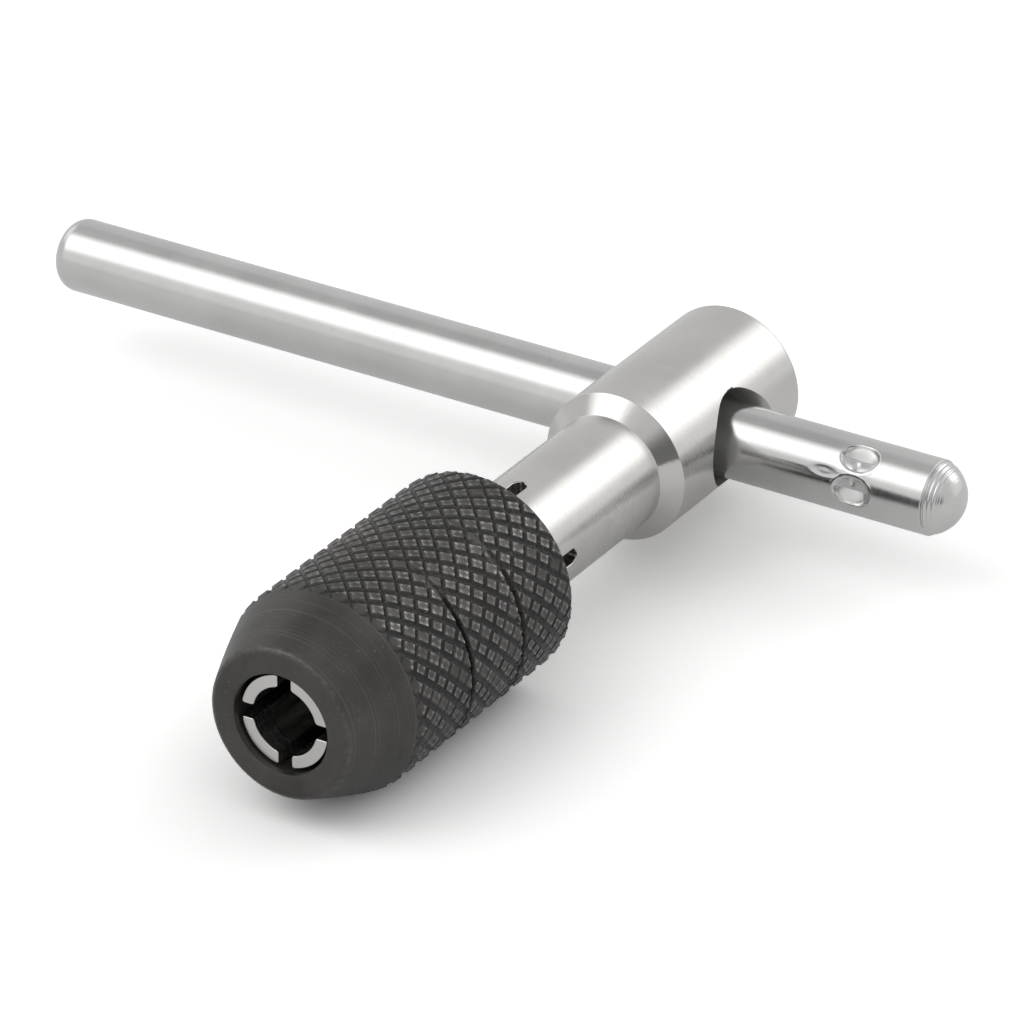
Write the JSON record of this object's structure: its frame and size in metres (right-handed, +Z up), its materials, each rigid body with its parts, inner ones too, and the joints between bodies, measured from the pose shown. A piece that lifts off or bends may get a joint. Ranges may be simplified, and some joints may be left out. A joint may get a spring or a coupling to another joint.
{
  "type": "tap wrench",
  "caption": "T-handle tap wrench: split-collet spindle, knurled black chuck nut that closes the jaws, and a sliding round cross bar held by punch dents.",
  "frame": {"origin": "centre of the jaws' mouth, on the tap axis", "axes": "+Y along the tap axis from the mouth to the handle head (the tap leaves along -Y), X along the T-bar, +Z up with the tool lying down"},
  "size_m": [0.1098, 0.085, 0.022],
  "materials": {
    "turned_steel": "satin, fine turning marks",
    "jaw_steel": "satin, machined",
    "black_oxide": "black oxide, diamond knurled",
    "bar_steel": "bright, lightly polished along its length"
  },
  "bodies": {
    "spindle": {"spindle": "turned_steel"},
    "jaw_1": {"jaw_1": "jaw_steel"},
    "jaw_2": {"jaw_2": "jaw_steel"},
    "jaw_3": {"jaw_3": "jaw_steel"},
    "jaw_4": {"jaw_4": "jaw_steel"},
    "chuck_nut": {"chuck_nut": "black_oxide"},
    "tee_bar": {"tee_bar": "bar_steel"}
  },
  "joints": [
    {"name": "nut_screw_travel", "type": "slide", "parent": "spindle", "child": "chuck_nut", "axis": [0, 1, 0], "range_m": [0, 0.003]},
    {"name": "jaw_1_close", "type": "hinge", "parent": "spindle", "child": "jaw_1", "pos_m": [0.00255, 0.043, 0.00255], "axis": [0.7071, 0, -0.7071], "range_deg": [0, 1.31]},
    {"name": "jaw_2_close", "type": "hinge", "parent": "spindle", "child": "jaw_2", "pos_m": [-0.00255, 0.043, 0.00255], "axis": [0.7071, 0, 0.7071], "range_deg": [0, 1.31]},
    {"name": "jaw_3_close", "type": "hinge", "parent": "spindle", "child": "jaw_3", "pos_m": [-0.00255, 0.043, -0.00255], "axis": [-0.7071, 0, 0.7071], "range_deg": [0, 1.31]},
    {"name": "jaw_4_close", "type": "hinge", "parent": "spindle", "child": "jaw_4", "pos_m": [0.00255, 0.043, -0.00255], "axis": [-0.7071, 0, -0.7071], "range_deg": [0, 1.31]},
    {"name": "tee_bar_slide", "type": "slide", "parent": "spindle", "child": "tee_bar", "axis": [1, 0, 0], "range_m": [-0.012, 0.0548]}
  ],
  "couplings": [
    {"joint": "jaw_1_close", "follows": "nut_screw_travel", "rad_per_m": 7.6},
    {"joint": "jaw_2_close", "follows": "nut_screw_travel", "rad_per_m": 7.6},
    {"joint": "jaw_3_close", "follows": "nut_screw_travel", "rad_per_m": 7.6},
    {"joint": "jaw_4_close", "follows": "nut_screw_travel", "rad_per_m": 7.6}
  ]
}
